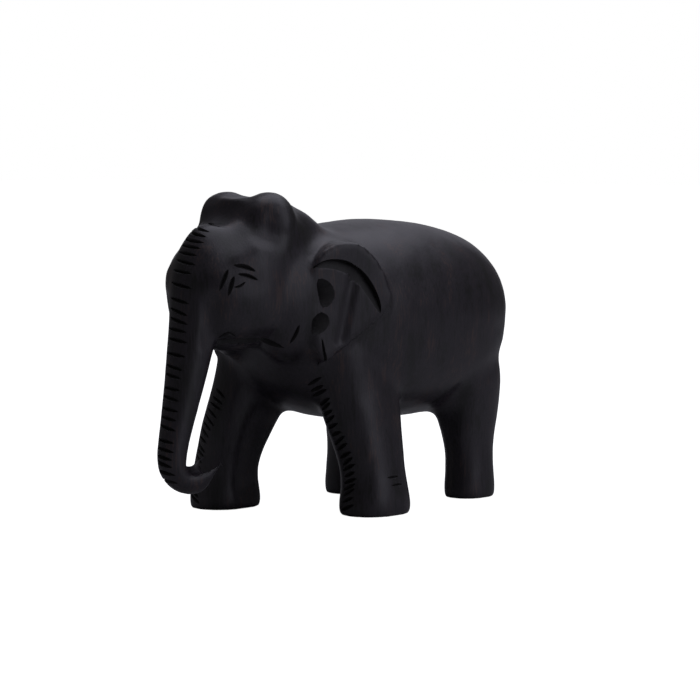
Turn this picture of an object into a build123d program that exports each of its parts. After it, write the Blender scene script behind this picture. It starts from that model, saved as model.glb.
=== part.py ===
from build123d import *
import math
import os

# A carved ebony elephant that stands on four feet, divided into the regions of its one block.
# Millimetres. +Z is up, the elephant faces -Y, and its left side is +X.
# The origin is at the middle of its footprint box, on the surface that it stands on.

# Overall sizes
TRUNK_REACH = 61.0  # from the middle of the front feet forward to the front of the trunk
RUMP_REACH = 80.8  # from the middle of the front feet back to the rump
BODY_WIDTH = 62.0  # across the barrel of the body
BACK_HEIGHT = 88.8
BELLY_HEIGHT = 26.5  # from the floor up to the underside of the belly

# Head
DOME_HEIGHT = 98.0  # from the floor to the top of the head's two domes
DOME_SPACING = 16.4  # between the tops of the domes
DOME_RADIUS = 8.8
DOME_SETBACK = 23.5  # from the middle of the front feet forward to the domes
HEAD_WIDTH = 35.0
JAW_HEIGHT = 55.0  # from the floor up to the jaw
JAW_THICKNESS = 4.0  # half the thickness of the lower jaw's lobe
JAW_FORWARD = 8.0  # from the domes forward to the middle of the lower jaw
SLOPE_SETBACK = 8.0  # from the domes back to the slope that joins them to the neck
SLOPE_DROP = 4.0  # from the top of the domes down to the top of that slope

# Trunk
TRUNK_ROOT_RADIUS = 8.6
TRUNK_ROOT_FORWARD = 20.0  # from the domes forward to the root of the trunk
TRUNK_ROOT_RISE = 23.0  # from the jaw up to the root of the trunk
TRUNK_END_RADIUS = 4.3
TRUNK_CLEARANCE = 9.5  # from the floor up to the curl
TIP_LENGTH = 13.8  # how far the curl runs back
TIP_TWIST = 4.5  # how far the tip turns to the elephant's left

# Legs
WHEELBASE = 54.0  # front pair to hind pair
FORE_TRACK = 47.0  # between the middles of the front feet
FORE_STEP = 16.0  # how far the right front foot is ahead of the left one
FORE_FOOT_WIDTH = 18.5
FORE_FOOT_LENGTH = 23.0
HIND_TRACK = 37.0
HIND_STEP = 15.0
HIND_FOOT_WIDTH = 14.0
HIND_FOOT_LENGTH = 17.0

# Ears
EAR_LENGTH = 27.3
EAR_HEIGHT = 35.5
EAR_RELIEF = 3.8  # how far the ear's face stands out from its root line
EAR_DEPTH = 14.0  # how deep the ear's region reaches into the neck
EAR_SETBACK = 5.5  # from the domes back to the front edge of the ear

# Tail
TAIL_RADIUS = 2.4
TAIL_END_HEIGHT = 44.0
TAIL_STAND = 1.4  # how far the tail stands out behind the rump

# Places worked out from the sizes
FORE_Y = (TRUNK_REACH - RUMP_REACH - TAIL_STAND) / 2
HIND_Y = FORE_Y + WHEELBASE
RUMP_Y = FORE_Y + RUMP_REACH
DOME_Y = FORE_Y - DOME_SETBACK
TRUNK_FRONT_Y = FORE_Y - TRUNK_REACH
HALF_WIDTH = BODY_WIDTH / 2
BODY_DEPTH = BACK_HEIGHT - BELLY_HEIGHT
TRUNK_SPLIT_HIGH = JAW_HEIGHT - 3.0
TRUNK_SPLIT_LOW = TRUNK_CLEARANCE + 3.0 * TRUNK_END_RADIUS
EAR_BOTTOM = JAW_HEIGHT - 8.0
EAR_ROOT_X = 0.49 * HEAD_WIDTH
EAR_SLANT = math.radians(21)

# Shape of the outlines
RING_POINTS = 16
BODY_POWER = 2.35  # boxier than an ellipse, which is 2
LEG_POWER = 2.4
HEAD_POWER = 2.1


def ring(plane, half_x, half_y, power=2.0):
    """A closed rounded outline on a plane: an ellipse at power 2, and boxier above it."""
    corner = 2 / power
    points = []
    for step in range(RING_POINTS):
        turn = 2 * math.pi * step / RING_POINTS
        across = math.copysign(abs(math.cos(turn)) ** corner, math.cos(turn))
        along = math.copysign(abs(math.sin(turn)) ** corner, math.sin(turn))
        points.append(plane.from_local_coords((half_x * across, half_y * along, 0)))
    return Face(Wire([Edge.make_spline(points, periodic=True)]))


def level(x, y, z):
    """A horizontal plane with its origin at a point."""
    return Plane((x, y, z), x_dir=(1, 0, 0), z_dir=(0, 0, 1))


def upright(y, z):
    """A plane across the body at one place along it."""
    return Plane((0, y, z), x_dir=(1, 0, 0), z_dir=(0, -1, 0))


def ellipsoid(x, y, z, radii):
    """An ellipsoid from its middle and its three radii."""
    return Pos(x, y, z) * scale(Sphere(1), by=radii)


def largest(shape):
    """The largest solid that a cut left."""
    return max(shape.solids(), key=lambda solid: solid.volume)


def mirrored(shape):
    """The same region on the other side of the body."""
    return mirror(shape, about=Plane.YZ)


def make_torso():
    """The barrel of the body, from the chest back to the rump."""
    # place along the body, then the drop of the back, the lift of the belly and the width as shares
    stations = [
        (-0.38, 0.170, 0.500, 0.26),
        (-0.33, 0.090, 0.390, 0.45),
        (-0.20, 0.045, 0.190, 0.65),
        (0.00, 0.032, 0.070, 0.84),
        (0.18, 0.015, 0.015, 0.95),
        (0.36, 0.000, 0.000, 0.985),
        (0.55, 0.012, 0.000, 1.00),
        (0.70, 0.040, 0.015, 0.975),
        (0.825, 0.090, 0.080, 0.89),
        (0.91, 0.160, 0.190, 0.76),
        (0.97, 0.265, 0.340, 0.52),
    ]
    faces = []
    for share, drop, lift, width in stations:
        top = BACK_HEIGHT - drop * BODY_DEPTH
        bottom = BELLY_HEIGHT + lift * BODY_DEPTH
        reach = RUMP_REACH if share > 0 else TRUNK_REACH
        middle = upright(FORE_Y + share * reach, (top + bottom) / 2)
        faces.append(ring(middle, width * HALF_WIDTH, (top - bottom) / 2, BODY_POWER))
    end = Vertex(0, RUMP_Y, BELLY_HEIGHT + 0.55 * BODY_DEPTH)
    return loft([*faces, end])


def make_head():
    """The skull with its two domes, and the cheeks down to the jaw."""
    # share of the height from the jaw to the crown, then how far the outline reaches in front of
    # the domes and behind them, then its width as a share of the head's
    levels = [
        (0.00, 22.0, 12.0, 0.68),
        (0.11, 27.0, 17.0, 0.91),
        (0.32, 29.0, 20.0, 1.00),
        (0.56, 26.0, 20.0, 1.00),
        (0.76, 14.5, 17.5, 0.94),
        (0.90, 9.5, 14.0, 0.80),
        (1.00, 7.5, 9.0, 0.56),
    ]
    crown = DOME_HEIGHT - 0.16 * DOME_RADIUS
    faces = []
    for share, front, back, width in levels:
        middle = DOME_Y + (back - front) / 2
        plane = level(0, middle, JAW_HEIGHT + share * (crown - JAW_HEIGHT))
        faces.append(ring(plane, width * HEAD_WIDTH / 2, (front + back) / 2, HEAD_POWER))
    skull = loft(faces)
    radii = (DOME_RADIUS, 1.15 * DOME_RADIUS, 1.15 * DOME_RADIUS)
    dome = ellipsoid(DOME_SPACING / 2, DOME_Y, DOME_HEIGHT - radii[2], radii)
    slope_radii = (0.98 * DOME_RADIUS, 1.95 * DOME_RADIUS, 1.3 * DOME_RADIUS)
    slope_top = DOME_HEIGHT - SLOPE_DROP
    slope_y = DOME_Y + SLOPE_SETBACK
    slope = ellipsoid(0.40 * DOME_SPACING, slope_y, slope_top - slope_radii[2], slope_radii)
    half = dome + slope
    return skull + half + mirrored(half)


def make_jaw():
    """The lower jaw, a small lobe under the cheeks behind the trunk."""
    radii = (0.24 * HEAD_WIDTH, 0.38 * HEAD_WIDTH, JAW_THICKNESS)
    return ellipsoid(0, DOME_Y - JAW_FORWARD, JAW_HEIGHT - 0.05 * JAW_THICKNESS, radii)


def trunk_path():
    """Middles of the trunk's rings from the brow down and around the curl, with their radii."""
    low_y = TRUNK_FRONT_Y + TRUNK_END_RADIUS
    root_y = DOME_Y - TRUNK_ROOT_FORWARD
    root_z = JAW_HEIGHT + TRUNK_ROOT_RISE
    low_z = TRUNK_CLEARANCE + 3.2 * TRUNK_END_RADIUS
    path = []
    # share of the way down, share of the way forward, share of the taper
    for down, forward, taper in [
        (-0.05, -0.62, 0.45),
        (0.00, 0.00, 0.15),
        (0.14, 0.14, 0.05),
        (0.32, 0.25, 0.22),
        (0.50, 0.43, 0.46),
        (0.67, 0.61, 0.65),
        (0.84, 0.80, 0.83),
        (1.00, 0.97, 0.97),
    ]:
        y = root_y + forward * (low_y - root_y)
        z = root_z + down * (low_z - root_z)
        radius = TRUNK_ROOT_RADIUS + taper * (TRUNK_END_RADIUS - TRUNK_ROOT_RADIUS)
        path.append((Vector(0, y, z), radius))
    # share of the curl's length, share of its rise, share of the twist, share of the radius
    for back, rise, twist, size in [
        (0.04, -0.62, 0.02, 0.98),
        (0.30, -0.97, 0.20, 0.96),
        (0.68, -0.88, 0.55, 0.95),
        (1.05, -0.40, 1.00, 0.72),
    ]:
        z = low_z + rise * (low_z - TRUNK_CLEARANCE - TRUNK_END_RADIUS)
        place = Vector(twist * TIP_TWIST, low_y + back * TIP_LENGTH, z)
        path.append((place, size * TRUNK_END_RADIUS))
    return path


def make_trunk():
    """The whole trunk with the scoop in its tip, before it is divided."""
    path = trunk_path()
    middles = [place for place, _ in path]
    faces = []
    for index, (place, radius) in enumerate(path):
        before = middles[max(index - 1, 0)]
        after = middles[min(index + 1, len(middles) - 1)]
        plane = Plane(place, x_dir=(1, 0, 0), z_dir=after - before)
        faces.append(ring(plane, radius, radius))
    trunk = loft(faces)
    tip, radius = path[-2]
    scoop = ellipsoid(0, 0, 0, (0.75 * radius, 1.9 * radius, 0.95 * radius))
    scoop = Pos(tip.X + 0.35 * radius, tip.Y + 0.6, tip.Z + 0.95 * radius) * Rot(8, 30, 0) * scoop
    return trunk - scoop


def make_leg(track, step, pair_y, width, length, stations):
    """One left leg, from the sole up into the body; a negative track and step give a right leg."""
    faces = []
    for height, inward, stride, back, wide, long in stations:
        x = track / 2 - math.copysign(inward, track)
        y = pair_y + stride * step / 2 + back
        faces.append(ring(level(x, y, height), wide * width / 2, long * length / 2, LEG_POWER))
    return loft(faces)


def make_fore_leg(track, step):
    """A front leg. It leans in and forward as it rises to the shoulder."""
    # height, how far inward, share of the step, how far back, then shares of the foot's sizes
    stations = [
        (0.0, 0.0, 1.00, 0.0, 0.97, 0.97),
        (2.0, 0.0, 1.00, 0.0, 1.00, 1.00),
        (14.0, 1.0, 1.00, 0.0, 0.93, 0.92),
        (22.0, 2.8, 0.90, 0.5, 0.99, 1.01),
        (30.0, 4.9, 0.75, 1.5, 1.06, 1.13),
        (44.0, 7.8, 0.40, 3.2, 1.17, 1.32),
        (58.0, 10.5, 0.20, 3.0, 1.15, 1.38),
        (68.0, 14.5, 0.10, 3.0, 0.90, 1.10),
    ]
    return make_leg(track, step, FORE_Y, FORE_FOOT_WIDTH, FORE_FOOT_LENGTH, stations)


def make_hind_leg(track, step):
    """A hind leg. It widens upward into the thigh and the rump."""
    # the columns are those of the front leg
    stations = [
        (0.0, 0.0, 1.00, 0.0, 0.97, 0.97),
        (2.0, 0.0, 1.00, 0.0, 1.00, 1.00),
        (12.0, 0.2, 1.00, 0.0, 0.96, 0.96),
        (20.0, 0.5, 0.95, 0.2, 1.03, 1.08),
        (30.0, 1.0, 0.80, 0.4, 1.28, 1.42),
        (42.0, 2.5, 0.50, 0.2, 1.57, 1.85),
        (54.0, 5.0, 0.30, -1.5, 1.60, 1.95),
    ]
    return make_leg(track, step, HIND_Y, HIND_FOOT_WIDTH, HIND_FOOT_LENGTH, stations)


def make_ear():
    """The left ear: a slab with a round top, a straight lower edge and its point at the throat."""
    outline = [
        (0.01, 0.80),
        (0.21, 0.97),
        (0.58, 1.00),
        (0.86, 0.82),
        (0.99, 0.61),
        (1.00, 0.45),
    ]
    points = [(s * EAR_LENGTH, h * EAR_HEIGHT) for s, h in outline]
    tip = (0.16 * EAR_LENGTH, 0)
    throat = (0.02 * EAR_LENGTH, 0.17 * EAR_HEIGHT)
    rim = Edge.make_spline([Vector(*point, 0) for point in points])
    edges = [rim]
    corners = [points[-1], tip, throat, points[0]]
    for start, end in zip(corners, corners[1:]):
        edges.append(Edge.make_line((*start, 0), (*end, 0)))
    face = Face(Wire(edges))
    root = (EAR_ROOT_X + EAR_RELIEF, DOME_Y + EAR_SETBACK, EAR_BOTTOM)
    along = (math.sin(EAR_SLANT), math.cos(EAR_SLANT), 0)
    outward = (math.cos(EAR_SLANT), -math.sin(EAR_SLANT), 0)
    plane = Plane(root, x_dir=along, z_dir=outward)
    return plane * extrude(face, amount=-EAR_DEPTH, dir=(0, 0, 1))


def make_tail():
    """The tail, which lies against the middle of the rump."""
    drop = BACK_HEIGHT - TAIL_END_HEIGHT
    rearmost = RUMP_Y + TAIL_STAND - 0.7 * TAIL_RADIUS
    # share of the way down, then how far in from the tail's rearmost point
    route = [(0.20, 8.5), (0.32, 3.4), (0.46, 1.0), (0.62, 0.0), (0.80, 0.7), (1.0, 2.8)]
    middles = [Vector(0, rearmost - inset, BACK_HEIGHT - share * drop) for share, inset in route]
    faces = []
    for index, place in enumerate(middles):
        before = middles[max(index - 1, 0)]
        after = middles[min(index + 1, len(middles) - 1)]
        taper = 1.0 - 0.09 * index
        plane = Plane(place, x_dir=(1, 0, 0), z_dir=after - before)
        faces.append(ring(plane, taper * TAIL_RADIUS, taper * TAIL_RADIUS))
    return loft(faces)


def above(height):
    """A block that holds everything above a height."""
    size = 4 * TRUNK_REACH
    return Pos(0, 0, height + size / 2) * Box(size, size, size)


def main():
    """Builds each region, cuts it back to the regions before it, and writes it."""
    torso = make_torso()
    head = largest(make_head() - torso)
    jaw = largest(make_jaw() - head - torso)
    trunk = make_trunk()
    free = largest(trunk - head - jaw)
    regions = {"torso": torso, "head": head, "lower_jaw": jaw}
    regions["trunk_upper"] = largest(free & above(TRUNK_SPLIT_HIGH))
    regions["trunk_lower"] = largest((free - above(TRUNK_SPLIT_HIGH)) & above(TRUNK_SPLIT_LOW))
    regions["trunk_tip"] = largest(free - above(TRUNK_SPLIT_LOW))
    for side, sign in (("left", 1), ("right", -1)):
        fore = make_fore_leg(sign * FORE_TRACK, sign * FORE_STEP)
        hind = make_hind_leg(sign * HIND_TRACK, sign * HIND_STEP)
        ear = make_ear() if sign > 0 else mirrored(make_ear())
        fore = largest(fore - torso - head)
        regions["leg_fore_" + side] = fore
        regions["leg_hind_" + side] = largest(hind - torso)
        regions["ear_" + side] = largest(ear - torso - head - fore - jaw)
    regions["tail"] = largest(make_tail() - torso)
    os.makedirs("parts", exist_ok=True)
    for name, region in regions.items():
        export_step(region, f"parts/{name}.step")


main()
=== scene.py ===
"""A standing elephant carved from one block of ebony: its skin, chip cuts, finish and studio."""

import logging
import math
import random
from dataclasses import dataclass
from enum import Enum

import bmesh
import bpy
from mathutils import Matrix, Vector, noise
from mathutils.bvhtree import BVHTree


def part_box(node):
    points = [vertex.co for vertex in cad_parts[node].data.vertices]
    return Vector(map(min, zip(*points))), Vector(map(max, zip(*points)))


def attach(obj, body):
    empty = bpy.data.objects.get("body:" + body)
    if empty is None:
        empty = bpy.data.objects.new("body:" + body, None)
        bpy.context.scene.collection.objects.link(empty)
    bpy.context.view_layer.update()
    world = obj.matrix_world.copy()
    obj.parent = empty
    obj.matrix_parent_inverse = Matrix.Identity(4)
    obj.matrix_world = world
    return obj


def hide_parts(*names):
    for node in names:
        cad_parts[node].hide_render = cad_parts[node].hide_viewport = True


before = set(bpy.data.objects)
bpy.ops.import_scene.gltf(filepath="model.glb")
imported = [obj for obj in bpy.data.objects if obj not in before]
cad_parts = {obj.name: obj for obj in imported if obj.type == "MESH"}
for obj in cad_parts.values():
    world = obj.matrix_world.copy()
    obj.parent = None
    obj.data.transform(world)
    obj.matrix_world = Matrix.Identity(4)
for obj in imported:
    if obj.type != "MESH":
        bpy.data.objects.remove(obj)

log = logging.getLogger("elephant")
MM = 0.001
SEED = 7
FORE_FOOT_X = 23.5 * MM  # from the middle line out to the middle of a front foot


class Side(Enum):
    """Which side of the elephant a feature is on, as the sign of X."""

    LEFT = 1
    RIGHT = -1


# The left front foot stands behind the right one, in mid-stride.
FORE_FOOT_Y = {Side.LEFT: -2.6 * MM, Side.RIGHT: -18.6 * MM}
# The places along the body of the cuts on the outside of each ankle, in millimetres.
ANKLE_CUT_Y = {"leg_fore_left": -3.0, "leg_fore_right": -19.0, "leg_hind_left": 57.0, "leg_hind_right": 42.0}


def mm(x: float, y: float, z: float) -> Vector:
    """A point or a size given in millimetres, in metres."""
    return Vector((x, y, z)) * MM


def smooth_step(share: float) -> float:
    """Eases a share from 0 to 1 with level ends."""
    share = min(max(share, 0.0), 1.0)
    return share * share * (3 - 2 * share)


def linear_colour(code: str) -> tuple[float, float, float, float]:
    """Turns an sRGB hex colour to linear.

    Args:
        code: six hex digits, such as "1c181b".

    Returns:
        The linear red, green, blue and an alpha of 1.
    """
    channels = []
    for start in (0, 2, 4):
        value = int(code[start:start + 2], 16) / 255
        channels.append(value / 12.92 if value <= 0.04045 else ((value + 0.055) / 1.055) ** 2.4)
    return (*channels, 1.0)


def add_node(tree: bpy.types.NodeTree, kind: str, inputs: dict, **settings) -> bpy.types.Node:
    """Adds a shader node with its settings, values and links.

    Args:
        tree: the material's node tree.
        kind: the node's type name.
        inputs: socket name or number to a value, or to an output socket to link.
        settings: the node's own properties.

    Returns:
        The new node.
    """
    node = tree.nodes.new(kind)
    for name, value in settings.items():
        setattr(node, name, value)
    for name, value in inputs.items():
        if isinstance(value, bpy.types.NodeSocket):
            tree.links.new(value, node.inputs[name])
        else:
            node.inputs[name].default_value = value
    return node


def colour_ramp(
    tree: bpy.types.NodeTree, factor: bpy.types.NodeSocket, stops: list[tuple[float, str]],
) -> bpy.types.NodeSocket:
    """Adds a colour ramp.

    Args:
        tree: the material's node tree.
        factor: the socket that drives the ramp.
        stops: pairs of a place and a hex colour, lowest first.

    Returns:
        The ramp's colour socket.
    """
    node = add_node(tree, "ShaderNodeValToRGB", {"Fac": factor})
    elements = node.color_ramp.elements
    while len(elements) < len(stops):
        elements.new(0.5)
    for element, (place, code) in zip(elements, stops):
        element.position = place
        element.color = linear_colour(code)
    return node.outputs["Color"]


@dataclass(frozen=True)
class WaxedEbony:
    """Ebony cut with gouges, sanded and waxed.

    It reads as near black with a soft sheen, with faint brown streaks that run up the grain.
    """

    name: str = "Waxed carved ebony"
    dark: str = "110e12"
    body: str = "241f27"
    streak: str = "3b2d2d"
    grain_width_mm: float = 0.55
    grain_length_mm: float = 7.0
    grain_depth_mm: float = 0.08
    roughness: float = 0.40
    wax: float = 0.12
    wax_roughness: float = 0.28

    def material(self) -> bpy.types.Material:
        """Makes the node material.

        Returns:
            The material, on Object coordinates, with the grain along Z.
        """
        made = bpy.data.materials.new(self.name)
        made.use_nodes = True
        tree = made.node_tree
        tree.nodes.clear()
        place = add_node(tree, "ShaderNodeTexCoord", {}).outputs["Object"]
        across = 1 / (self.grain_width_mm * MM)
        along = 1 / (self.grain_length_mm * MM)
        # The pores and streaks run up the block, so the pattern is stretched along Z.
        stretched = add_node(tree, "ShaderNodeMapping", {"Vector": place, "Scale": (across, across, along)})
        grain = add_node(
            tree, "ShaderNodeTexNoise",
            {"Vector": stretched.outputs["Vector"], "Scale": 1.0, "Detail": 3.0, "Roughness": 0.55},
        )
        broad = add_node(
            tree, "ShaderNodeMapping",
            {"Vector": place, "Scale": (across * 0.09, across * 0.09, along * 0.35)},
        )
        bands = add_node(
            tree, "ShaderNodeTexNoise",
            {"Vector": broad.outputs["Vector"], "Scale": 1.0, "Detail": 2.0, "Roughness": 0.5},
        )
        both = add_node(
            tree, "ShaderNodeMath", {0: grain.outputs["Fac"], 1: bands.outputs["Fac"]}, operation="MULTIPLY",
        )
        stops = [(0.15, self.dark), (0.24, self.body), (0.31, self.body), (0.40, self.streak)]
        colour = colour_ramp(tree, both.outputs[0], stops)
        rough = add_node(
            tree, "ShaderNodeMapRange",
            {"Value": grain.outputs["Fac"], "To Min": self.roughness - 0.06, "To Max": self.roughness + 0.10},
        )
        bump = add_node(
            tree, "ShaderNodeBump",
            {"Height": grain.outputs["Fac"], "Strength": 0.5, "Distance": self.grain_depth_mm * MM},
        )
        shader = add_node(
            tree, "ShaderNodeBsdfPrincipled",
            {
                "Base Color": colour,
                "Roughness": rough.outputs["Result"],
                "IOR": 1.5,
                "Normal": bump.outputs["Normal"],
                "Coat Weight": self.wax,
                "Coat Roughness": self.wax_roughness,
            },
        )
        add_node(tree, "ShaderNodeOutputMaterial", {"Surface": shader.outputs["BSDF"]})
        return made


@dataclass(frozen=True)
class BareCutWithPaintedShade:
    """The walls of the chip cuts: the same ebony, left as the knife cut it.

    It is rougher than the waxed skin, and its colours are painted darker as shade in the cuts, so each cut
    reads as a dull black line.
    """

    # the cut walls' finish: bare and rough, with colours darker than the skin's as painted shade in the cuts
    name: str = "Ebony, bare knife cut"
    dark: str = "0a080a"
    light: str = "171316"
    fibre_mm: float = 0.3
    roughness: float = 0.62

    def material(self) -> bpy.types.Material:
        """Makes the node material.

        Returns:
            The material, on Object coordinates, with short fibres along Z.
        """
        made = bpy.data.materials.new(self.name)
        made.use_nodes = True
        tree = made.node_tree
        tree.nodes.clear()
        place = add_node(tree, "ShaderNodeTexCoord", {}).outputs["Object"]
        across = 1 / (self.fibre_mm * MM)
        turned = add_node(tree, "ShaderNodeMapping", {"Vector": place, "Scale": (across, across, across / 6)})
        fibre = add_node(tree, "ShaderNodeTexNoise", {"Vector": turned.outputs["Vector"], "Scale": 1.0})
        # the fibres, in colours darkened as painted shade
        colour = colour_ramp(tree, fibre.outputs["Fac"], [(0.35, self.dark), (0.65, self.light)])
        shader = add_node(
            tree, "ShaderNodeBsdfPrincipled", {"Base Color": colour, "Roughness": self.roughness, "IOR": 1.5},
        )
        add_node(tree, "ShaderNodeOutputMaterial", {"Surface": shader.outputs["BSDF"]})
        return made


def pour(part: bmesh.types.BMesh, whole: bmesh.types.BMesh) -> None:
    """Adds one bmesh to another and frees it."""
    mesh = bpy.data.meshes.new("part")
    part.to_mesh(mesh)
    part.free()
    whole.from_mesh(mesh)
    bpy.data.meshes.remove(mesh)


class Surface:
    """The carving's skin, for finding where a tool meets it."""

    def __init__(self, skin: bpy.types.Object) -> None:
        """Reads the skin's mesh as it is now."""
        self.tree = BVHTree.FromPolygons(
            [v.co.copy() for v in skin.data.vertices], [tuple(p.vertices) for p in skin.data.polygons],
        )

    def meet(self, target: Vector, outward: Vector, reach: float) -> tuple[Vector, Vector]:
        """Finds the skin by looking inward at a point.

        Args:
            target: a point near the skin.
            outward: the way the tool comes from.
            reach: how far out it starts.

        Returns:
            The point on the skin and its normal.
        """
        outward = outward.normalized()
        spot, normal, _, _ = self.tree.ray_cast(target + outward * reach, -outward)
        if spot is None:
            spot, normal, _, _ = self.tree.find_nearest(target)
        return spot, normal


WEDGE_LIFT = 0.35  # how far a wedge stands above the skin, as a share of its depth
WEDGE_LOOK = 0.02  # how far along its route a wedge looks for its direction, as a share
WEDGE_END = 0.03  # the width left at the ends, as a share of half the width
WIDTH_TAPER = 0.75
DEPTH_TAPER = 0.7


@dataclass
class KnifeCut:
    """A cut with two sloping walls that tapers out at both ends, laid along a route on the skin."""

    route: list[Vector]
    outward: Vector
    width: float
    depth: float
    lean: float = 0.0  # 0 is an even V; near 1 the wall on one side stands steep
    reach: float = 12 * MM
    stations: int = 9

    def at(self, share: float) -> Vector:
        """A point at a share of the route, as a smooth curve through its points."""
        spans = len(self.route) - 1
        span = min(int(share * spans), spans - 1)
        local = share * spans - span
        a, b = self.route[span], self.route[span + 1]
        before = self.route[span - 1] if span else a - (b - a)
        after = self.route[span + 2] if span + 2 <= spans else b + (b - a)
        tangent_a, tangent_b = (b - before) / 2, (after - a) / 2
        t2, t3 = local * local, local * local * local
        return (
            a * (2 * t3 - 3 * t2 + 1) + tangent_a * (t3 - 2 * t2 + local)
            + b * (3 * t2 - 2 * t3) + tangent_b * (t3 - t2)
        )

    def add_to(self, bm: bmesh.types.BMesh, surface: Surface) -> None:
        """Adds the wedge that cuts it, bent to lie along the skin.

        Args:
            bm: the mesh of wedges.
            surface: the skin.
        """
        wedge = bmesh.new()
        bmesh.ops.create_cone(wedge, segments=3, radius1=1, radius2=1, depth=2, cap_ends=True)
        long_edges = [e for e in wedge.edges if abs(e.verts[0].co.z - e.verts[1].co.z) > 1]
        bmesh.ops.subdivide_edges(wedge, edges=long_edges, cuts=self.stations - 2)
        lift = WEDGE_LIFT * self.depth
        for v in wedge.verts:
            share = (v.co.z + 1) / 2
            spot, normal = surface.meet(self.at(share), self.outward, self.reach)
            ahead, _ = surface.meet(self.at(min(share + WEDGE_LOOK, 1)), self.outward, self.reach)
            behind, _ = surface.meet(self.at(max(share - WEDGE_LOOK, 0)), self.outward, self.reach)
            side = normal.cross((ahead - behind).normalized()).normalized()
            full = max(1 - (2 * share - 1) ** 2, 0.0)
            half = self.width / 2 * (full ** WIDTH_TAPER + WEDGE_END)
            deep = self.depth * full ** DEPTH_TAPER
            if v.co.y > 0.5:
                v.co = spot - normal * (deep - 0.02 * MM) + side * half * self.lean
            else:
                turn = math.copysign(1.0, v.co.x)
                slope = 1 + lift / max(deep, self.depth * 0.25)
                v.co = spot + normal * lift + side * half * (self.lean + (turn - self.lean) * slope)
        pour(wedge, bm)


@dataclass
class Hollow:
    """A soft dip or swell rubbed into the skin along a line."""

    start: Vector
    end: Vector
    radius: float
    depth: float  # negative swells

    def push(self, co: Vector) -> float:
        """How far the skin at a point goes in."""
        line = self.end - self.start
        share = 0.0
        if line.length_squared:
            share = min(max((co - self.start).dot(line) / line.length_squared, 0), 1)
        gap = (co - (self.start + line * share)).length
        return self.depth * smooth_step(1 - gap / self.radius) if gap < self.radius else 0.0


@dataclass
class Block:
    """The block's rough shape: every region joined into one closed skin and rubbed smooth."""

    voxel: float = 0.8 * MM
    blend_rounds: int = 40
    finish_rounds: int = 5
    crown_rounds: int = 60  # on the brow and the nape, either side of the domes
    crease_spread: int = 5  # how many rows of the mesh each side of a crease are rubbed

    def fillers(self) -> list[tuple[Vector, Vector]]:
        """Rounded lumps that fill the creases between regions.

        Returns:
            Pairs of a middle and three radii.
        """
        ear_low, ear_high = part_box("ear_left")
        lumps = []
        for side in Side:
            neck_side = Vector((side.value * 0.32 * ear_high[0], ear_low[1] + 2 * MM, ear_low[2] + 19 * MM))
            lumps.append((neck_side, mm(11.5, 15, 19)))
            lumps.append((mm(side.value * 5, -43, 82), mm(7, 8, 8)))
            shoulder = Vector((side.value * 0.34 * ear_high[0], ear_low[1] + 16 * MM, ear_high[2] - 11 * MM))
            lumps.append((shoulder, mm(12, 16, 14)))
        return lumps

    def build(self) -> bpy.types.Object:
        """Joins copies of the regions, remeshes them as one skin and smooths it.

        Returns:
            The skin.
        """
        bm = bmesh.new()
        for name in sorted(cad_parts):
            bm.from_mesh(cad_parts[name].data)
        bmesh.ops.remove_doubles(bm, verts=bm.verts, dist=1e-6)
        for middle, radii in self.fillers():
            place = Matrix.Translation(middle) @ Matrix.Diagonal((*radii, 1))
            bmesh.ops.create_icosphere(bm, subdivisions=4, radius=1, matrix=place)
        skin = new_object("carving", bm)
        join = skin.modifiers.new("one_skin", "REMESH")
        join.mode = "VOXEL"
        join.voxel_size = self.voxel
        bake_modifiers(skin)
        self.rub(skin)
        return skin

    def rub(self, skin: bpy.types.Object) -> None:
        """Smooths the creases between regions well, and everything else a little."""
        ear_low, ear_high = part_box("ear_left")
        tail_low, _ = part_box("tail")
        bm = bmesh.new()
        bm.from_mesh(skin.data)
        bm.verts.ensure_lookup_table()

        def crisp(co: Vector) -> bool:
            """Whether a point is on an ear or the tail, whose edges stay clear."""
            on_ear = abs(co.x) > ear_low[0] + 4 * MM and ear_low[1] - 1 * MM < co.y < ear_high[1] + 2 * MM
            on_ear = on_ear and ear_low[2] - 1 * MM < co.z < ear_high[2] + 2 * MM
            on_tail = co.y > tail_low[1] and abs(co.x) < 4 * MM and co.z > tail_low[2] - 2 * MM
            return on_ear or on_tail

        head_low, head_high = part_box("head")
        throat_y, throat_z = ear_low[1] - 4 * MM, head_low[2] + 4 * MM

        def left_sharp(co: Vector) -> bool:
            """Whether a point is at a foot or under the jaw, where the edges stay clear."""
            return co.z < 24 * MM or (co.y < throat_y and co.z < throat_z)

        creases = {v for v in bm.verts if not crisp(v.co) and not left_sharp(v.co) and self.is_crease(v)}
        for _ in range(self.crease_spread):
            creases |= {e.other_vert(v) for v in creases for e in v.link_edges}
        rub_vertices(bm, [v for v in creases if not crisp(v.co)], self.blend_rounds)

        dome_y = (head_low[1] + head_high[1]) / 2

        def on_crown(co: Vector) -> bool:
            """Whether a point is on the nape behind the domes, or on the brow in front of them."""
            on_nape = co.z > ear_high[2] - 10 * MM and dome_y + 6 * MM < co.y < ear_high[1]
            on_brow = co.z > ear_high[2] - 8 * MM and co.y < dome_y - 10 * MM
            return (on_nape or on_brow) and not crisp(co)

        rub_vertices(bm, [v for v in bm.verts if on_crown(v.co)], self.crown_rounds)
        rub_vertices(bm, list(bm.verts), self.finish_rounds)
        bm.to_mesh(skin.data)
        bm.free()

    def is_crease(self, v: bmesh.types.BMVert) -> bool:
        """Whether the skin folds inward at a vertex."""
        middle = sum((e.other_vert(v).co for e in v.link_edges), Vector()) / len(v.link_edges)
        return (middle - v.co).dot(v.normal) > 0.05 * self.voxel


def rub_vertices(bm: bmesh.types.BMesh, verts: list[bmesh.types.BMVert], rounds: int) -> None:
    """Smooths some vertices of a mesh, as rubbing with fine paper does.

    Args:
        bm: the mesh.
        verts: the vertices to smooth.
        rounds: how many times.
    """
    for _ in range(rounds):
        bmesh.ops.smooth_vert(bm, verts=verts, factor=0.5, use_axis_x=True, use_axis_y=True, use_axis_z=True)


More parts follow.
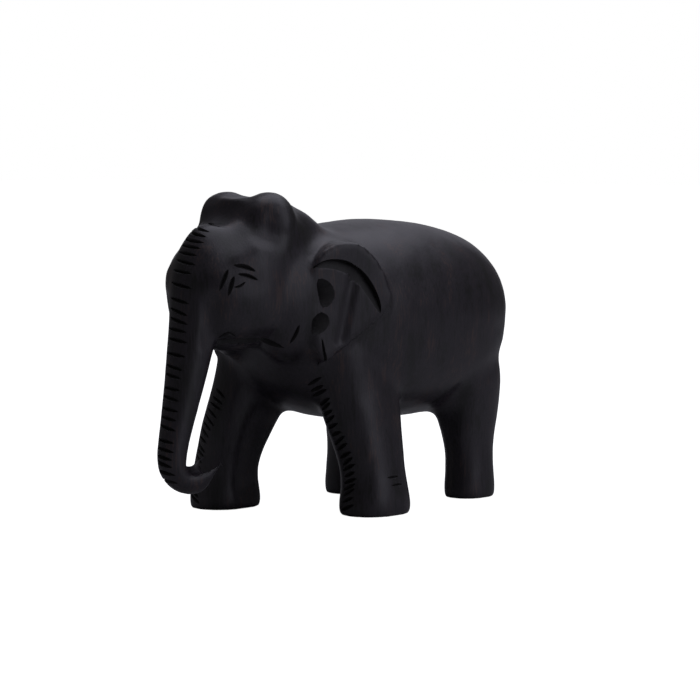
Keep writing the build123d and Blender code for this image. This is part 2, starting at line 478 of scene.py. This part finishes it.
def new_object(name: str, bm: bmesh.types.BMesh) -> bpy.types.Object:
    """Makes an object at the origin from a bmesh, and frees the bmesh.

    Args:
        name: the object's name.
        bm: its shape, in metres.

    Returns:
        The object, in the scene.
    """
    mesh = bpy.data.meshes.new(name)
    bm.to_mesh(mesh)
    bm.free()
    made = bpy.data.objects.new(name, mesh)
    bpy.context.scene.collection.objects.link(made)
    return made


def bake_modifiers(obj: bpy.types.Object) -> None:
    """Replaces an object's mesh by what its modifiers make of it."""
    graph = bpy.context.evaluated_depsgraph_get()
    mesh = bpy.data.meshes.new_from_object(obj.evaluated_get(graph))
    obj.modifiers.clear()
    old = obj.data
    obj.data = mesh
    bpy.data.meshes.remove(old)


class Sculptor:
    """The soft modelling that is rubbed into the skin: hollows, swells and the hand's unevenness."""

    def hollows(self) -> list[Hollow]:
        """The soft dips and swells.

        Returns:
            Each as a line, a radius and a depth.
        """
        dips = []
        for side in Side:
            s = side.value
            dips += [
                # behind and below the dome
                Hollow(mm(s * 15, -40, 90), mm(s * 14.5, -41, 85), 7 * MM, 1.3 * MM),
                # between the trunk's root and the cheek
                Hollow(mm(s * 9.5, -59.5, 66), mm(s * 9.0, -60, 54), 4.5 * MM, 1.1 * MM),
                # the cheek and the brow swell
                Hollow(mm(s * 17, -42, 66), mm(s * 17, -42, 66), 13 * MM, -0.7 * MM),
                # around the eye
                Hollow(mm(s * 13.4, -53.5, 73), mm(s * 14.6, -50, 72.5), 7 * MM, 0.6 * MM),
                # the soft fold down the ear's face
                Hollow(mm(s * 25.5, -15.5, 72), mm(s * 24.5, -19.5, 54), 3.2 * MM, 0.9 * MM),
            ]
        dips += [
            # between the domes
            Hollow(mm(0, -52, 92), mm(0, -26, 99), 7 * MM, 0.5 * MM),
            # the inner faces of the front legs
            Hollow(mm(-12.5, -18, 34), mm(-14.5, -17, 8), 9 * MM, 1.4 * MM),
            Hollow(mm(12.5, 0, 34), mm(14.5, -1, 8), 9 * MM, 1.2 * MM),
            # the groins
            Hollow(mm(24, 40, 31), mm(22, 38, 27), 9 * MM, 2.0 * MM),
            Hollow(mm(-24, 26, 31), mm(-22, 24, 27), 9 * MM, 2.0 * MM),
        ]
        return dips

    def apply(self, skin: bpy.types.Object) -> None:
        """Pushes the skin in and out.

        Args:
            skin: the carving.
        """
        hollows = self.hollows()
        shifts = []
        for v in skin.data.vertices:
            inward = sum(h.push(v.co) for h in hollows)
            level = min(max(v.co.z / (2 * MM), 0), 1)
            # the long waves of the gouge, then the short ones of the rasp
            uneven = noise.noise(v.co / (9 * MM)) * 0.16 * MM + noise.noise(v.co / (3.5 * MM)) * 0.05 * MM
            shifts.append(v.co - v.normal * (inward + uneven) * level)
        for v, place in zip(skin.data.vertices, shifts):
            v.co = place
        skin.data.update()


class Cuts:
    """Every knife and gouge cut, as wedges taken out of the skin."""

    def trunk(self) -> list[KnifeCut]:
        """The rings of short cuts from the brow down the front of the trunk."""
        rng = random.Random(SEED)
        tip_low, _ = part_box("trunk_tip")
        gaps = [1.9, 1.9, 2.4, 2.0, 2.4, 2.9, 3.2, 4.5, 5.0, 3.6, 3.0, 3.1, 3.3, 4.7, 4.2, 2.8, 4.2, 3.1,
                3.7, 2.9, 3.1, 4.4, 2.8, 2.5, 2.2, 2.8, 2.7, 2.4]
        low, high = tip_low[2] + 3.2 * MM, 91.5 * MM
        scale = (high - low) / (sum(gaps) * MM)
        ahead_y = -75 * MM  # just in front of the trunk
        made = []
        z = high
        for gap in gaps:
            down = (high - z) / (high - low)
            half = (4.5 - 1.5 * down) * MM
            tilt = rng.uniform(0.10, 0.28) * half
            start = Vector((-half, 0, z + tilt))
            end = Vector((half * rng.uniform(0.9, 1.1), 0, z - tilt))
            route = [Vector((p.x, ahead_y, p.z)) for p in (start, (start + end) / 2, end)]
            made.append(KnifeCut(route, Vector((0, -1, 0.12)), 1.4 * MM, 0.95 * MM, reach=5 * MM))
            z -= gap * MM * scale
        return made

    def foreleg(self, side: Side) -> list[KnifeCut]:
        """The slanting notches down the front ridge of one front leg."""
        rng = random.Random(SEED + side.value)
        foot = Vector((side.value * FORE_FOOT_X, FORE_FOOT_Y[side], 0))
        made = []
        near = side is Side.LEFT
        count = 20 if near else 17
        top = 38.0 if near else 33.0
        for index in range(count):
            share = index / (count - 1)
            z = (3.0 + top * share + rng.uniform(-0.4, 0.4)) * MM
            # the ridge runs in over the chest above the knee, and turns outward as it goes
            over_chest = smooth_step((z / MM - 29) / 12) if near else 0.0
            turn = math.radians((-8 if near else -14) + 43 * over_chest)
            outward = Vector((math.sin(turn), -math.cos(turn), 0))
            across = Vector((math.cos(turn), math.sin(turn), 0))
            lean_in = (smooth_step((z / MM - 12) / 32) * 9.0 + 7.0 * over_chest) * MM
            middle = Vector((foot.x - side.value * lean_in, foot.y - 8 * MM * over_chest, z))
            half = rng.uniform(2.3, 2.9) * MM
            slant = half * rng.uniform(0.35, 0.65) * side.value
            route = [
                middle - across * half - Vector((0, 0, slant)),
                middle,
                middle + across * half + Vector((0, 0, slant)),
            ]
            made.append(KnifeCut(route, outward, 1.3 * MM, 0.95 * MM, reach=24 * MM))
        return made

    def ankles(self) -> list[KnifeCut]:
        """Two short level cuts on the outside of each ankle."""
        made = []
        for name, y in ANKLE_CUT_Y.items():
            sign = 1 if "left" in name else -1
            hind = "hind" in name
            for z, shift in ((11.8, -0.6), (9.4, 0.8)):
                half = 2.6 if not hind else 2.2
                outward = Vector((sign, 0.75 if hind else 0.0, 0)).normalized()
                along = Vector((-outward.y, outward.x, 0)) * sign
                middle = mm(sign * 20, y + shift, z)
                route = [middle - along * half * MM, middle, middle + along * half * MM]
                made.append(KnifeCut(route, outward, 0.95 * MM, 0.6 * MM, reach=20 * MM))
        return made

    def eye(self, side: Side) -> list[KnifeCut]:
        """The brow, the two lids and the two cuts in front of one eye."""
        s = side.value
        middle = mm(s * 13.4, -52.6, 73.0)
        outward = Vector((s * 0.868, -0.496, 0.0))
        back = Vector((s * 0.496, 0.868, 0.0))
        strokes = [
            # start back, start up, end back, end up, bow, width, depth
            (-1.9, 3.9, 5.3, 2.0, 0.5, 1.25, 0.9),
            (-0.8, 1.4, 6.0, -0.6, 0.4, 1.0, 0.8),
            (1.9, -0.8, -2.0, -2.5, -0.5, 0.7, 0.5),
            (-3.3, 3.0, -6.4, -3.5, 0.3, 1.1, 0.8),
            (-1.7, 1.0, -3.8, -5.2, 0.3, 1.2, 0.8),
        ]
        made = []
        for back_a, up_a, back_b, up_b, bow, width, depth in strokes:
            a = middle + back * back_a * MM + Vector((0, 0, up_a * MM))
            b = middle + back * back_b * MM + Vector((0, 0, up_b * MM))
            mid = (a + b) / 2 + Vector((0, 0, bow * MM))
            made.append(KnifeCut([a, mid, b], outward, 1.25 * width * MM, 1.1 * depth * MM, reach=15 * MM))
        return made

    def ear_place(self, side: Side, along: float, up: float) -> Vector:
        """A point over one ear's face, from its front lower corner, in millimetres."""
        low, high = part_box("ear_left")
        return Vector((side.value * high[0], low[1] + along * 0.934 * MM, low[2] + up * MM))

    def ear(self, side: Side) -> list[KnifeCut]:
        """The deep crescent under the folded rim, and the strip groove at the neck."""
        outward = Vector((side.value, -0.35, 0)).normalized()
        crescent = [
            (-4.5, 28.2), (1.5, 29.6), (8.5, 28.8), (14.0, 25.8), (17.8, 22.0), (20.8, 17.6), (22.3, 14.4),
        ]
        route = [self.ear_place(side, a, u) for a, u in crescent]
        lean = 0.8 * side.value
        made = [KnifeCut(route, outward, 3.8 * MM, 2.0 * MM, lean=lean, reach=14 * MM, stations=25)]
        strip = [self.ear_place(side, a, u) for a, u in ((-0.6, 8.0), (0.6, 3.0), (2.0, -1.5))]
        made.append(KnifeCut(strip, outward, 1.0 * MM, 0.8 * MM, reach=14 * MM))
        slash = [mm(side.value * 16, y, z) for y, z in ((-31.5, 59.0), (-32.2, 56.0), (-33.4, 53.0))]
        made.append(KnifeCut(slash, outward, 1.3 * MM, 1.0 * MM, reach=14 * MM))
        return made

    def mouth(self, side: Side) -> list[KnifeCut]:
        """The small arched cut at the corner of the mouth and the line of the lower jaw."""
        s = side.value
        outward = Vector((s * 0.8, -0.6, 0)).normalized()
        arch = [mm(s * 8.0, -56.0, 55.2), mm(s * 9.5, -53.5, 57.0), mm(s * 11.0, -51.0, 55.6)]
        jaw = [mm(s * 9, -56, 52.0), mm(s * 12, -50, 53.0), mm(s * 13.5, -42, 52.8), mm(s * 12.5, -33, 52.8)]
        return [
            KnifeCut(arch, outward, 1.1 * MM, 0.8 * MM, reach=15 * MM),
            KnifeCut(jaw, Vector((s * 0.8, -0.35, -0.35)), 3.2 * MM, 2.0 * MM, reach=15 * MM, stations=17),
        ]

    def gouges(self, side: Side) -> list[KnifeCut]:
        """The two thumb-shaped hollows between the cheek and the ear."""
        outward = Vector((side.value, -0.35, 0)).normalized()
        upper = [self.ear_place(side, a, u) for a, u in ((-2.0, 25.3), (1.2, 21.1), (0.2, 16.4))]
        lower = [self.ear_place(side, a, u) for a, u in ((-0.6, 15.4), (-0.9, 12.4), (-3.6, 8.6))]
        return [
            KnifeCut(upper, outward, 5.4 * MM, 3.0 * MM, lean=-0.5 * side.value, reach=14 * MM, stations=13),
            KnifeCut(lower, outward, 5.6 * MM, 3.0 * MM, lean=-0.5 * side.value, reach=14 * MM, stations=13),
        ]

    def wedges(self) -> list[KnifeCut]:
        """Every cut of the carving.

        Returns:
            The knife cuts.
        """
        made = self.trunk()
        made += self.ankles()
        for side in Side:
            made += self.foreleg(side) + self.eye(side) + self.ear(side) + self.mouth(side)
            made += self.gouges(side)
        return made

    def apply(self, skin: bpy.types.Object, bare_and_painted_shade: bpy.types.Material) -> None:
        """Takes every cut out of the skin.

        Args:
            skin: the carving.
            bare_and_painted_shade: the finish that the cuts' walls get, its colours darker as painted shade.
        """
        surface = Surface(skin)
        bm = bmesh.new()
        cuts = self.wedges()
        for cut in cuts:
            cut.add_to(bm, surface)
        log.info("cuts: %d", len(cuts))
        bmesh.ops.recalc_face_normals(bm, faces=bm.faces)
        tools = new_object("wedges", bm)
        # the cut walls get the rough bare finish, whose darker colours are painted shade
        tools.data.materials.append(bare_and_painted_shade)
        taken = skin.modifiers.new("cuts", "BOOLEAN")
        taken.operation = "DIFFERENCE"
        taken.solver = "EXACT"
        taken.use_self = True
        taken.material_mode = "TRANSFER"
        taken.object = tools
        bake_modifiers(skin)
        bpy.data.objects.remove(tools)


@dataclass
class Carving:
    """The whole elephant as one piece of wood."""

    edge_angle: float = math.radians(38)

    def build(self) -> bpy.types.Object:
        """Shapes, cuts and finishes the elephant.

        Returns:
            The finished piece.
        """
        # the second material is the cut walls' finish, with painted shade in its colours
        waxed, bare_and_painted_shade = WaxedEbony().material(), BareCutWithPaintedShade().material()
        skin = Block().build()
        log.info("block: %d faces", len(skin.data.polygons))
        Sculptor().apply(skin)
        skin.data.materials.clear()
        skin.data.materials.append(waxed)
        Cuts().apply(skin, bare_and_painted_shade)
        log.info("cut: %d faces", len(skin.data.polygons))
        skin.data.shade_smooth()
        skin.data.set_sharp_from_angle(angle=self.edge_angle)
        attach(skin, "root")
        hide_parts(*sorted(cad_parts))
        return skin


@dataclass(frozen=True)
class Studio:
    """A pale sweep of floor, soft lights and the camera."""

    # degrees, then metres; the lens and the sensor are in millimetres
    azimuth: float = 40.0
    elevation: float = 4.0
    distance: float = 0.9
    lens: float = 151.2514
    sensor: float = 36.0
    floor_glow: float = 0.985
    backdrop: float = 1.0
    lamp_tint: str = "f0f0ff"
    room: float = 0.07

    def build(self) -> None:
        """Sets up the floor, the lights, the world and the camera."""
        self.floor()
        self.world()
        self.lamp("overhead", (0.05, 0.25, 0.90), 1.1, 4.2)
        self.lamp("back_softbox", (-0.75, 0.95, 0.40), 0.9, 0.9)
        self.lamp("left_softbox", (1.05, 0.20, 0.50), 0.9, 2.0)
        self.camera()

    def floor(self) -> None:
        """Makes the floor."""
        bm = bmesh.new()
        bmesh.ops.create_grid(bm, x_segments=1, y_segments=1, size=6)
        floor = new_object("floor", bm)
        paper = bpy.data.materials.new("White paper sweep")
        paper.use_nodes = True
        tree = paper.node_tree
        shader = tree.nodes["Principled BSDF"]
        shader.inputs["Base Color"].default_value = linear_colour("b8b8b8")
        shader.inputs["Roughness"].default_value = 0.5
        shader.inputs["Emission Color"].default_value = (1.0, 1.0, 1.0, 1.0)
        seen = add_node(tree, "ShaderNodeLightPath", {}).outputs["Is Camera Ray"]
        glow = add_node(tree, "ShaderNodeMath", {0: seen, 1: self.floor_glow}, operation="MULTIPLY")
        tree.links.new(glow.outputs[0], shader.inputs["Emission Strength"])
        floor.data.materials.append(paper)

    def world(self) -> None:
        """Lights the scene from all round."""
        world = bpy.data.worlds.new("studio")
        world.use_nodes = True
        tree = world.node_tree
        background = tree.nodes["Background"]
        background.inputs["Color"].default_value = (1.0, 1.0, 1.0, 1.0)
        seen = add_node(tree, "ShaderNodeLightPath", {}).outputs["Is Camera Ray"]
        span = {"Value": seen, "To Min": self.room, "To Max": self.backdrop}
        level = add_node(tree, "ShaderNodeMapRange", span)
        tree.links.new(level.outputs["Result"], background.inputs["Strength"])
        bpy.context.scene.world = world
        bpy.context.scene.view_settings.view_transform = "Standard"

    def lamp(self, name: str, place: tuple[float, float, float], size: float, power: float) -> None:
        """Adds a square soft light that faces the elephant.

        Args:
            name: the light's name.
            place: where it stands, in metres.
            size: the side of its square, in metres.
            power: in watts.
        """
        data = bpy.data.lights.new(name, "AREA")
        data.size = size
        data.energy = power
        data.color = linear_colour(self.lamp_tint)[:3]
        lamp = bpy.data.objects.new(name, data)
        lamp.location = place
        lamp.rotation_euler = (Vector((0, 0, 0.05)) - Vector(place)).to_track_quat("-Z", "Y").to_euler()
        bpy.context.scene.collection.objects.link(lamp)

    def camera(self) -> None:
        """Stands the camera in front, to the elephant's left."""
        target = mm(12.1, -0.8, 49.3)
        a, e = math.radians(self.azimuth), math.radians(self.elevation)
        back = Vector((math.sin(a) * math.cos(e), -math.cos(a) * math.cos(e), math.sin(e)))
        data = bpy.data.cameras.new("camera")
        data.sensor_width = self.sensor
        data.lens = self.lens
        data.clip_start = 0.01
        camera = bpy.data.objects.new("camera", data)
        camera.location = target + back * self.distance
        camera.rotation_euler = (-back).to_track_quat("-Z", "Y").to_euler()
        bpy.context.scene.collection.objects.link(camera)
        bpy.context.scene.camera = camera


def main() -> None:
    """Builds the carving and its studio in order."""
    logging.basicConfig(level=logging.INFO, format="%(message)s")
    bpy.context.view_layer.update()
    Carving().build()
    Studio().build()


if __name__ == "__main__":
    main()
